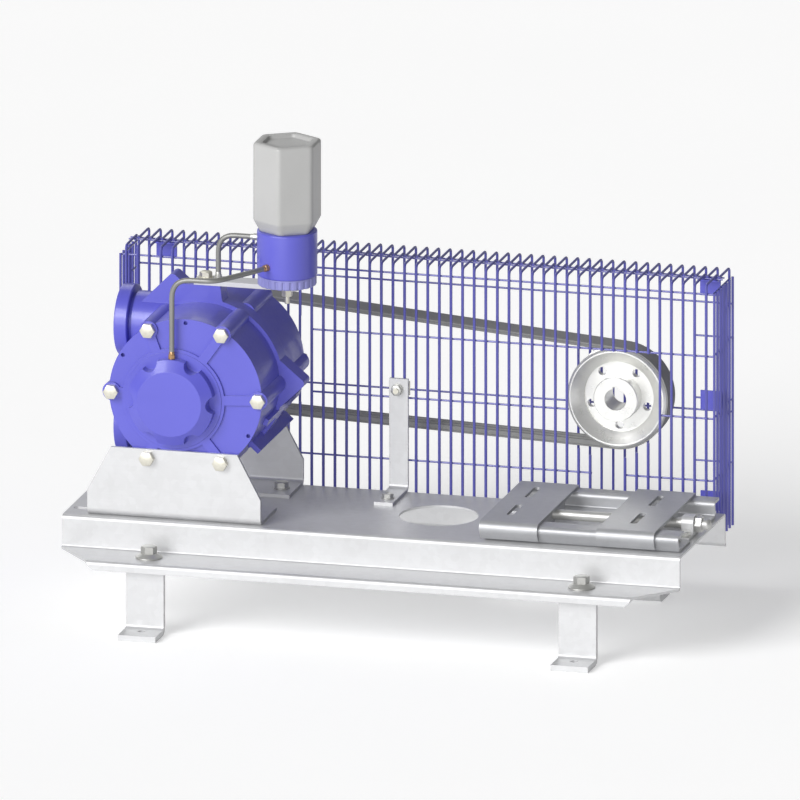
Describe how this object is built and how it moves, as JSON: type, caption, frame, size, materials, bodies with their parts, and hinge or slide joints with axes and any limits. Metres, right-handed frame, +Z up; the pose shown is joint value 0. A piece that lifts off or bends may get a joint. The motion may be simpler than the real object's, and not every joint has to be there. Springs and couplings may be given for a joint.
{
  "type": "vacuum pump",
  "caption": "Belt-driven rotary vane vacuum pump on a folded steel base, with a wire belt guard, an adjustable motor carriage and a drip lubricator.",
  "frame": {"origin": "on the floor, at the centre of the four foot holes", "axes": "+X along the base from the pump to the motor end, +Y to the belt side, +Z up"},
  "size_m": [1.0997, 0.545, 0.8233],
  "materials": {
    "zinc_sheet": "zinc plated, satin",
    "pump_paint": "gloss blue-violet enamel",
    "guard_paint": "semi-gloss blue-violet coating on wire",
    "fastener_zinc": "zinc plated",
    "bright_steel": "machined",
    "bearing_steel": "ground",
    "cage_brass": "machined",
    "pulley_iron": "turned, bare",
    "belt_rubber": "matt",
    "vane_composite": "machined composite",
    "seal_rubber": "matt",
    "lubricator_paint": "gloss blue-violet enamel",
    "ring_plastic": "satin lavender",
    "bottle_plastic": "satin grey",
    "union_brass": "turned",
    "tube_metal": "drawn"
  },
  "bodies": {
    "base_set": {"base_channel": "zinc_sheet", "feet": "zinc_sheet", "foot_bolts": "fastener_zinc", "foot_nuts": "fastener_zinc", "pump_bracket_front": "zinc_sheet", "pump_bracket_rear": "zinc_sheet", "bracket_bolts": "fastener_zinc", "bracket_nuts": "fastener_zinc", "front_cover": "pump_paint", "front_cap": "pump_paint", "stator_housing": "pump_paint", "rear_cover": "pump_paint", "seal_retainer": "pump_paint", "shaft_seal": "seal_rubber", "tie_bolts": "fastener_zinc", "tie_nuts": "fastener_zinc", "inlet_flange": "pump_paint", "exhaust_flange": "pump_paint", "bearing_outer_rings": "bearing_steel", "drive_belt": "belt_rubber", "guard_front_uprights": "guard_paint", "guard_front_rails": "guard_paint", "guard_front_returns": "guard_paint", "guard_back_uprights": "guard_paint", "guard_back_rails": "guard_paint", "guard_back_returns": "guard_paint", "guard_left_end": "guard_paint", "guard_right_end": "guard_paint", "guard_clips": "guard_paint", "guard_strap": "zinc_sheet", "guard_clamp": "fastener_zinc", "clamp_nut": "fastener_zinc", "deck_bolts_small": "fastener_zinc", "deck_nuts_small": "fastener_zinc", "spindle_block": "bright_steel", "lube_bracket": "zinc_sheet", "lube_bracket_bolt": "fastener_zinc", "lube_stud": "fastener_zinc", "knurled_ring": "ring_plastic", "lubricator_body": "lubricator_paint", "oil_bottle": "bottle_plastic", "oil_unions": "union_brass", "front_oil_tube": "tube_metal", "rear_oil_tube": "tube_metal"},
    "rotor_set": {"shaft": "bright_steel", "rotor": "bright_steel", "vanes": "vane_composite", "bearing_inner_rings": "bearing_steel", "pulley_key": "bright_steel", "pump_pulley": "pulley_iron"},
    "roller_sets": {"bearing_rollers": "bearing_steel", "bearing_cages": "cage_brass"},
    "motor_carriage": {"carriage_rails": "zinc_sheet", "saddle_plates": "zinc_sheet", "nut_crossbar": "zinc_sheet", "carriage_bolts": "fastener_zinc", "carriage_nuts": "fastener_zinc"},
    "motor_pulley_set": {"motor_pulley": "pulley_iron"},
    "spindle_set": {"tension_spindle": "bright_steel"}
  },
  "joints": [
    {"name": "rotor_spin", "type": "hinge", "parent": "base_set", "child": "rotor_set", "pos_m": [-0.351, 0, 0.3915], "axis": [0, 1, 0], "continuous": true},
    {"name": "roller_orbit", "type": "hinge", "parent": "base_set", "child": "roller_sets", "pos_m": [-0.351, 0, 0.3915], "axis": [0, 1, 0], "continuous": true},
    {"name": "spindle_turn", "type": "hinge", "parent": "base_set", "child": "spindle_set", "pos_m": [0.5, -0.004, 0.202], "axis": [1, 0, 0], "range_deg": [-648.1, 5040.1]},
    {"name": "carriage_slide", "type": "slide", "parent": "base_set", "child": "motor_carriage", "axis": [1, 0, 0], "range_m": [-0.035, 0.0045], "deforming": ["drive_belt"]},
    {"name": "motor_pulley_spin", "type": "hinge", "parent": "motor_carriage", "child": "motor_pulley_set", "pos_m": [0.3345, 0.237, 0.3526], "axis": [0, 1, 0], "continuous": true}
  ],
  "couplings": [
    {"joint": "roller_orbit", "follows": "rotor_spin", "ratio": 0.4494},
    {"joint": "motor_pulley_spin", "follows": "rotor_spin", "ratio": 1.1664},
    {"joint": "spindle_turn", "follows": "carriage_slide", "rad_per_m": -2513.3}
  ]
}
